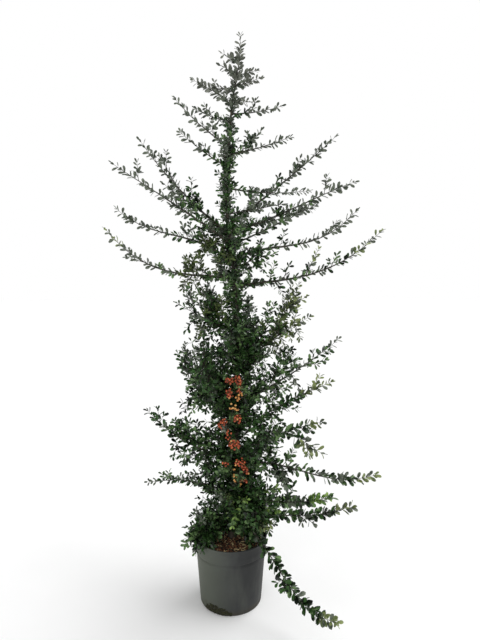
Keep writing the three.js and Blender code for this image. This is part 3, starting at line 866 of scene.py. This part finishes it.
def vary(mass, length):
    return length * (1 + foliage["variation"] * (mass["draw"]() - 0.5))


def addTwig(mass, stem, t, turn, spread, lift):
    heading = (headingFrom(stem, t, turn, foliage["twigLean"]) + up * lift).normalized()
    growTwig(mass, pointOn(stem["curve"], t), heading, vary(mass, spread * mm), wood["side"] * mm)


def growTwig(mass, root, heading, length, radius):
    draw = mass["draw"]
    solid = solidLeafLength(root) * foliage["shootShare"]
    tip = root + heading * length + up * length * foliage["twigRise"]
    waver = Vector((draw() - 0.5, draw() - 0.5, 0)) * foliage["twigWaver"] * mm
    middle = root.lerp(tip, 0.5) - up * length * foliage["twigSag"] + waver
    thin, thinnest = foliage["twigTaper"]
    twigs.append([(root, radius), (middle, radius * thin), (tip, radius * thinnest)])
    addShoot(mass, tip, heading, vary(mass, solid))
    flat = heading.cross(up).normalized()
    steps = max(2, round(length / (leafLength(root) * foliage["twigPitch"])))
    for k in range(steps):
        share = (k + 0.7) / steps
        base = root.lerp(middle, share * 2) if share < 0.5 else middle.lerp(tip, share * 2 - 1)
        side = flat if k % 2 == 0 else -flat
        lean = foliage["leafSplay"]
        outward = heading * cos(lean) + side * sin(lean) + up * foliage["lift"] * (draw() * 4 - 1.4)
        if k % 2 == 0:
            addShoot(mass, base, outward.normalized(), solid * (0.6 + 0.3 * draw()))
        else:
            addRosette(mass, base, outward.normalized())


def pitchOn(mass, stem):
    if mass["name"] in berryMasses:
        return foliage["berryPitch"]
    return foliage["bushyPitch"] if stem["spread"] > foliage["bushySpread"] else foliage["pitch"]


def stemPath(stem, draw):
    count = round(stem["length"] / (limbs["ringStep"] * mm))
    path = []
    for k in range(count + 1):
        share = k / count
        radius = mix(stem["radius"] * mm, limbs["tipRadius"] * mm, share)
        waver = Vector((draw() - 0.5, draw() - 0.5, draw() - 0.5)) * limbs["waver"] * mm
        point = pointOn(stem["curve"], placeOn(stem, share))
        path.append((point + (waver if 0 < k < count else Vector()), radius))
    return path


def fillMass(mass, stem, start, until, pitch, longest, upward):
    draw = mass["draw"]
    count = round(stem["length"] * (until - start) / (pitch * mm))
    for k in range(count):
        share = mix(start, until, (k + draw()) / count)
        t = placeOn(stem, share)
        tangent = tangentOn(stem["curve"], t)
        rise = 1 if draw() < upward else foliage["fall"]
        aside = stem["across"] * (draw() - 0.5) * foliage["aside"]
        heading = up * rise + tangent * foliage["along"] + aside
        least = min(foliage["leastFill"], longest / 2)
        length = mix(least, longest, draw()) * mm * (1 - 0.5 * share)
        mass["tone"] = toneAt(mass, share, draw)
        growTwig(mass, pointOn(stem["curve"], t), heading.normalized(), length, wood["fill"] * mm)


def growMass(mass):
    draw = mass["draw"]
    finer, whorl, shoot, twig, lift = habits[habitOf.get(mass["name"], "airy")]
    for stem in mass["stems"]:
        twigs.append(stemPath(stem, draw))
        count = max(foliage["leastGrowth"], round(stem["length"] * finer / (pitchOn(mass, stem) * mm)))
        firstTurn = draw() * 2 * pi
        for k in range(count):
            share = (k + 0.5) / count
            t = placeOn(stem, share)
            turn = firstTurn + k * goldenAngle
            mass["tone"] = toneAt(mass, share, draw)
            base = pointOn(stem["curve"], t)
            if k % (3 * finer) == finer:
                addTwig(mass, stem, t, turn, stem["spread"] * (1 - 0.5 * share) * twig, lift)
            elif k % finer == 0:
                reach = solidLeafLength(base) * foliage["shootShare"] * (0.6 + 0.35 * draw()) * shoot
                addShoot(mass, base, headingFrom(stem, t, turn, foliage["leafSplay"]), reach)
            else:
                addWhorl(mass, base, tangentOn(stem["curve"], t), whorl)
        mass["tone"] = toneAt(mass, 1, draw)
        end = pointOn(stem["curve"], stem["to"])
        tangent = tangentOn(stem["curve"], stem["to"])
        addShoot(mass, end, tangent, stem["last"])
        if whorl > 4:  # dense limbs stay dense to their tip
            for k in range(1, 4):
                addWhorl(mass, end + tangent * stem["last"] * 0.2 * k, tangent, 3)
        if mass["name"] in filled or stem["spread"] > foliage["bushySpread"]:
            fillMass(mass, stem, *filled.get(mass["name"], usual["filled"]))


# Old leaves are deep green, some sprays a little lighter, and the ends of some limbs are this year's.
def toneAt(mass, share, draw):
    if share >= freshFrom.get(mass["name"], 2):
        return "fresh"
    if share >= sproutFrom.get(mass["name"], 2):
        return "sprout"
    if mass["name"] == "leader":
        return "downy" if share > 0.3 else "young"
    amount, until = olive.get(mass["name"], (0, 0))
    if share < until and draw() < amount:
        return "olive"
    if draw() < youngTip.get(mass["name"], usual["youngTip"]) * share * 2:
        return "young"
    return "mid" if draw() < lighter.get(mass["name"], usual["lighter"]) else "deep"


def forkStems(name, parent):
    spread = min(parent["spread"], limbs["forkSpread"] + parent["spread"] / 4)
    found = []
    for on, share, azimuth, reach, rise, near, far in forks:
        if on == name:
            root = pointOn(parent["curve"], placeOn(parent, share))
            curve = limbCurve(root, azimuth, reach, rise, near, far)
            found.append(stemOf(curve, azimuth, 0, limbs["forkRadius"], spread))
    return found


# Returns the bare feet of the thick limbs, which are boughs.
def makeMasses():
    main = stemOf([Vector(p) * mm for p in leader["points"]], 0, 0, leader["radius"], leader["spread"])
    masses = [{"name": "leader", "stems": [main] + forkStems("leader", main)}]
    boughs = []
    for rows, forked in ((sprays, True), (fineSprays, False)):
        for name, height, azimuth, reach, rise, near, far, bare, spread in rows:
            curve = limbCurve(trunkAt(height), azimuth, reach, rise, near, far)
            stem = stemOf(curve, azimuth, bare, stemRadius(reach), spread)
            masses.append({"name": name, "stems": [stem] + (forkStems(name, stem) if forked else [])})
            if bare:
                boughs.append((curve, bare, stemRadius(reach)))
    for index, mass in enumerate(masses):
        mass["draw"] = seededRandom(foliage["seed"] + index * foliage["seedStep"])
        growMass(mass)
    return boughs


# Short leafy shoots straight from the trunk.
trunkShoots = {
    "seed": 29,
    "zones": (  # from this height to this one: pitch, length, and how steeply they rise
        ("foot", 285, 330, 2.2, 175, 0, 0.25), ("foot", 330, 370, 3.2, 125, 0.02, 0.3),
        ("foot", 370, 480, 6, 110, 0.1, 0.8), ("trunk", 370, 800, 13, 105, 0.5, 1.1),
        ("trunk", 800, 1100, 9, 115, 0.3, 1.1), ("trunk", 1100, 1400, 10, 32, 0.5, 1.1),
        ("trunk", 1400, 1900, 14, 14, 0.5, 1.1),
    ),
    "openFront": (-0.6, 0.9),  # below this sine of their azimuth foot shoots rise by this much more
    "bough": (24, 90, 38),  # pitch on bare boughs, and length on the low and on the high ones
    "slender": 1000,  # boughs above this height have tufts alone
    "tufts": (7, 520),  # pitch of the tufts of leaves on the bark, and where they begin on the trunk
    "tuft": 4,  # leaves in one
    "tuftTip": (-0.4, 0.6),  # how far along a spray leaves are as young, at the soil and at the top
}


def addTuft(mass, foot, root, heading):
    mass["tone"] = toneAt(mass, max(0, atHeight(foot, *trunkShoots["tuftTip"])), mass["draw"])
    addWhorl(mass, root, heading, trunkShoots["tuft"])


def growTrunkShoots(boughs):
    draw = seededRandom(trunkShoots["seed"])
    mass = {"draw": draw}
    turn = 0
    front, upright = trunkShoots["openFront"]
    for name, low, high, pitch, length, flat, steep in trunkShoots["zones"]:
        mass["name"] = name
        for k in range(round((high - low) / pitch)):
            root = trunkAt(low + (k + draw()) * pitch)
            turn += goldenAngle
            rise = mix(flat, steep, draw())
            if name == "foot" and sin(turn) < front:
                rise += upright
            heading = Vector((cos(turn), sin(turn), rise)).normalized()
            mass["tone"] = toneAt(mass, 0, draw)
            growTwig(mass, root, heading, length * (0.5 + 0.5 * draw()) * mm, wood["trunk"] * mm)
    pitch, low, high = trunkShoots["bough"]
    for curve, bare, _ in boughs:
        if curve[0].z > trunkShoots["slender"] * mm:
            continue
        length = atHeight(curve[0], low, high)
        count = round(bare * chordLength(curve) / (pitch * mm))
        for k in range(count):
            t = bare * (k + draw()) / count
            turn += goldenAngle
            across = tangentOn(curve, t).cross(up).normalized()
            heading = across * cos(turn) + up * sin(turn) + tangentOn(curve, t) * 0.6
            mass["tone"] = toneAt(mass, 0, draw)
            size = length * (0.4 + 0.6 * draw()) * mm
            growTwig(mass, pointOn(curve, t), heading.normalized(), size, wood["bough"] * mm)
    pitch, lowest = trunkShoots["tufts"]
    for k in range(round((trunk["top"] - lowest) / pitch)):
        root = trunkAt(lowest + (k + draw()) * pitch)
        addTuft(mass, root, root, up)
    for curve, bare, _ in boughs:
        for k in range(round(bare * chordLength(curve) / (pitch * mm))):
            t = k * pitch * mm / chordLength(curve)
            addTuft(mass, curve[0], pointOn(curve, t), tangentOn(curve, t))


boughs = makeMasses()
growTrunkShoots(boughs)
print("leaves", {tone: len(rows) for tone, rows in leaves.items()}, "twigs", len(twigs))


# Berries: flat-topped bunches on short twigs at the front of the trunk.

# x, y and height of each bunch's middle, berries in it, and 1 where they aren't ripe yet
bunches = (
    (27, -102, 944, 24, 0), (-8, -96, 938, 12, 0), (-6, -102, 890, 20, 0), (34, -96, 905, 13, 0),
    (40, -104, 876, 6, 1), (12, -104, 836, 9, 1), (28, -102, 794, 21, 0), (-32, -100, 776, 18, 0),
    (-24, -98, 742, 11, 0), (17, -106, 690, 26, 0), (3, -98, 716, 6, 0), (40, -100, 617, 18, 0),
    (-26, -96, 615, 6, 0), (60, -102, 588, 17, 0), (16, -100, 578, 5, 1), (36, -102, 541, 10, 1),
    (54, -104, 545, 7, 0),
)
berries = {
    "radius": 4.5, "bunch": 23, "flat": 0.8, "deep": 0.9, "apart": 1.5, "stalk": 13, "calyx": 1.4,
    "late": 0.08, "seed": 57,
    # a bunch's twig starts this far below it on the trunk, or on a stem at most this far above it
    "below": 25, "above": 20,
}


# Where a bunch's twig starts: on the trunk a little below it, or on a stem that is nearer.
def nearestCarrier(place, stems):
    found = trunkAt(place.z / mm - berries["below"])
    for stem in stems:
        for k in range(1, 12):
            point = pointOn(stem, k / 12)
            nearer = (point - place).length < (found - place).length
            if nearer and point.z < place.z + berries["above"] * mm:
                found = point
    return found


def makeBerries():
    draw = seededRandom(berries["seed"])
    stems = [limbCurve(trunkAt(row[1]), *row[2:7]) for row in sprays if row[0].startswith("front")]
    rows = {"ripe": [], "unripe": [], "calyx": []}
    for x, y, z, count, young in bunches:
        centre = Vector((x, y, z)) * mm
        carrier = nearestCarrier(centre, stems)
        outward = (centre - carrier).normalized()
        hub = centre - (outward * 0.6 + up * 0.4) * berries["stalk"] * mm
        addWood((carrier, carrier.lerp(hub, 0.5) - up * 4 * mm, hub), wood["bunch"])
        _, side, above = axesOf(outward, 0)
        apart = berries["radius"] * berries["apart"] * mm
        kept = []
        for _ in range(count * 12):
            away = berries["bunch"] * mm * sqrt(draw())
            turn = 2 * pi * draw()
            spot = centre + (side * cos(turn) + above * sin(turn) * berries["flat"]) * away
            spot += outward * (draw() - 0.6) * berries["bunch"] * mm * berries["deep"]
            if len(kept) < count and all((spot - other).length > apart for other in kept):
                kept.append(spot)
        for spot in kept:
            addWood((hub, hub.lerp(spot, 0.6), spot), wood["stalk"])
            heading = ((spot - hub).normalized() + outward * 0.5).normalized()
            size = berries["radius"] * (0.88 + 0.2 * draw()) * mm
            along, across, upper = axesOf(heading, 0)
            kind = "unripe" if young or draw() < berries["late"] else "ripe"
            rows[kind].append((spot, (along * size * 0.92, across * size, upper * size)))
            calyx = berries["calyx"] * mm
            rows["calyx"].append((spot + along * size * 0.9, (along * calyx, across * calyx, upper * calyx)))
    return rows


berryRows = makeBerries()


def ballPattern():
    shape = bmesh.new()
    bmesh.ops.create_icosphere(shape, subdivisions=2, radius=1)
    return meshFrom(shape, "berry")


# A crown of five points round the berry's end, open along the leaf axis.
def calyxPattern():
    shape = bmesh.new()
    bmesh.ops.create_cone(shape, cap_ends=True, segments=10, radius1=0.7, radius2=1, depth=0.5)
    for v in shape.verts:
        if v.co.z > 0:
            v.co *= 1 + 0.35 * cos(5 * atan2(v.co.y, v.co.x))
    bmesh.ops.rotate(shape, verts=shape.verts, cent=(0, 0, 0), matrix=Matrix.Rotation(pi / 2, 3, "Y"))
    return meshFrom(shape, "calyx")


def addBerryPieces():
    kinds = (("berriesRipe", "ripe", ballPattern(), berrySkin("berrySkinRipe", "#6b2a18", "#c65f38")),
             ("berriesUnripe", "unripe", ballPattern(), berrySkin("berrySkinUnripe", "#b06c30", "#dcae6c")),
             ("berryCalyxes", "calyx", calyxPattern(), dryCalyx()))
    for name, kind, pattern, material in kinds:
        mesh = copies(pattern, berryRows[kind])
        mesh.shade_smooth()
        piece = show(name, mesh, material)
        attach(piece, "root")
        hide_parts(*["foliage_" + name for name in berryMasses])


addBerryPieces()
print("berries", {kind: len(rows) for kind, rows in berryRows.items()})


# Trunk and boughs in one mesh, with the bark's relief.

bark = {
    "roundness": 10, "knots": 0.6, "knotSize": 20, "cracks": 0.35, "crackSize": (4, 4, 30),
    "ribs": 4, "rib": 0.1, "ribHeight": 45, "ribbedRadius": 30, "ribbedTo": 400,
}


def makeBark(boughs):
    rings = round(trunkLength / trunk["ringStep"])
    paths = [[(trunkPoint(k / rings), trunkRadius(k / rings)) for k in range(rings + 1)]]
    for curve, bare, radius in boughs:
        length = bare * chordLength(curve)
        steps = round(length / (limbs["ringStep"] * mm))
        path = []
        for k in range(steps + 1):
            share = k / steps
            collar = 1 + limbs["collar"] * exp(-share * length / (limbs["collarLength"] * mm))
            thick = radius * mix(limbs["boughThickening"], 1, share)
            path.append((pointOn(curve, bare * share), thick * collar * mm))
        paths.append(path)
    mesh = tubes("bark", paths, bark["roundness"])
    shape = bmesh.new()
    shape.from_mesh(mesh)
    shape.normal_update()
    for v in shape.verts:
        height = v.co.z / mm
        outward = v.co - trunkAt(height)
        low = exp(-(height - trunk["soil"]) / bark["ribHeight"])
        rib = 1 + cos(bark["ribs"] * atan2(outward.y, outward.x) + 1)
        spread = bark["rib"] * low * rib * outward.length
        crack = noise.noise(Vector([part / (size * mm) for part, size in zip(v.co, bark["crackSize"])]))
        knot = noise.noise(v.co / (bark["knotSize"] * mm))
        radial = Vector((outward.x, outward.y, 0))
        v.co += v.normal * (crack * bark["cracks"] + knot * bark["knots"]) * mm
        if radial.length < bark["ribbedRadius"] * mm and v.co.z < bark["ribbedTo"] * mm:
            v.co += radial.normalized() * spread
    bmesh.ops.bisect_plane(shape, geom=shape.verts[:] + shape.edges[:] + shape.faces[:],
                           plane_co=(0, 0, trunk["soil"] * mm), plane_no=(0, 0, -1), clear_outer=True)
    bmesh.ops.holes_fill(shape, edges=[e for e in shape.edges if e.is_boundary], sides=0)
    bmesh.ops.recalc_face_normals(shape, faces=shape.faces)
    shape.to_mesh(mesh)
    shape.free()
    piece = show("barkLimbs", mesh, firethornBark())
    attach(piece, "root")
    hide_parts(*limbNodes)


makeBark(boughs)
print("trunk and boughs")


# Twigs and leaves, each kind joined.

def makeTwigs():
    piece = show("twigs", tubes("twigs", twigs, 0), youngBark())
    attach(piece, "root")
    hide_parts(*massNodes)


leavesInPiece = 8000  # keeps each piece under 200,000 triangles

# half widths at places along a leaf, how far its edges rise and its tip bends down, and its thickness
leafShape = {
    "places": (0, 0.25, 0.58, 0.86, 1), "widths": (0, 0.12, 0.21, 0.17, 0),
    "cup": 0.05, "bend": 0.09, "body": 0.022,
}


def leafPattern():
    shape = bmesh.new()
    places, widths = leafShape["places"], leafShape["widths"]
    last = len(places) - 1
    bmesh.ops.create_grid(shape, x_segments=last, y_segments=2, size=0.5)
    for v in shape.verts:
        column = round((v.co.x + 0.5) * last)
        edge = round(v.co.y * 2)
        rise = leafShape["cup"] * abs(edge) * widths[column] / max(widths)
        fall = leafShape["bend"] * places[column] ** 2
        v.co = Vector((places[column], edge * widths[column], rise - fall))
    bmesh.ops.remove_doubles(shape, verts=shape.verts, dist=1e-4)
    under = bmesh.ops.duplicate(shape, geom=shape.faces[:] + shape.edges[:] + shape.verts[:])["geom"]
    bmesh.ops.reverse_faces(shape, faces=[g for g in under if isinstance(g, bmesh.types.BMFace)])
    for v in under:
        if isinstance(v, bmesh.types.BMVert) and not onRim(v):
            v.co.z -= leafShape["body"]
    bmesh.ops.remove_doubles(shape, verts=shape.verts, dist=1e-4)
    return meshFrom(shape, "leaf")


def onRim(v):
    return abs(v.co.y) > 1e-5 or not 0.01 < v.co.x < 0.99


def makeLeaves():
    pattern = leafPattern()
    rim = np.array([onRim(v) for v in pattern.vertices])
    for tone, rows in leaves.items():
        material = waxyLeaf(*tones[tone])
        for start in range(0, len(rows), leavesInPiece):
            placed = []
            for root, heading, size, roll in rows[start:start + leavesInPiece]:
                along, across, above = axesOf(heading, roll)
                broad = leafSize(root, foliage["widthLow"], foliage["widthHigh"])
                placed.append((root, (along * size, across * size * broad, above * size)))
            mesh = copies(pattern, placed)
            mesh.shade_smooth()
            ends = np.zeros(len(mesh.edges) * 2, np.int32)
            mesh.edges.foreach_get("vertices", ends)
            sharp = rim[ends.reshape(-1, 2) % len(rim)].all(1)
            mesh.attributes.new("sharp_edge", "BOOLEAN", "EDGE").data.foreach_set("value", sharp)
            piece = show("leaves" + tone.capitalize() + str(start // leavesInPiece + 1), mesh, material)
            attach(piece, "root")
            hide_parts(*massNodes)


makeTwigs()
makeLeaves()
print("twigs and leaves")

bpy.context.view_layer.update()
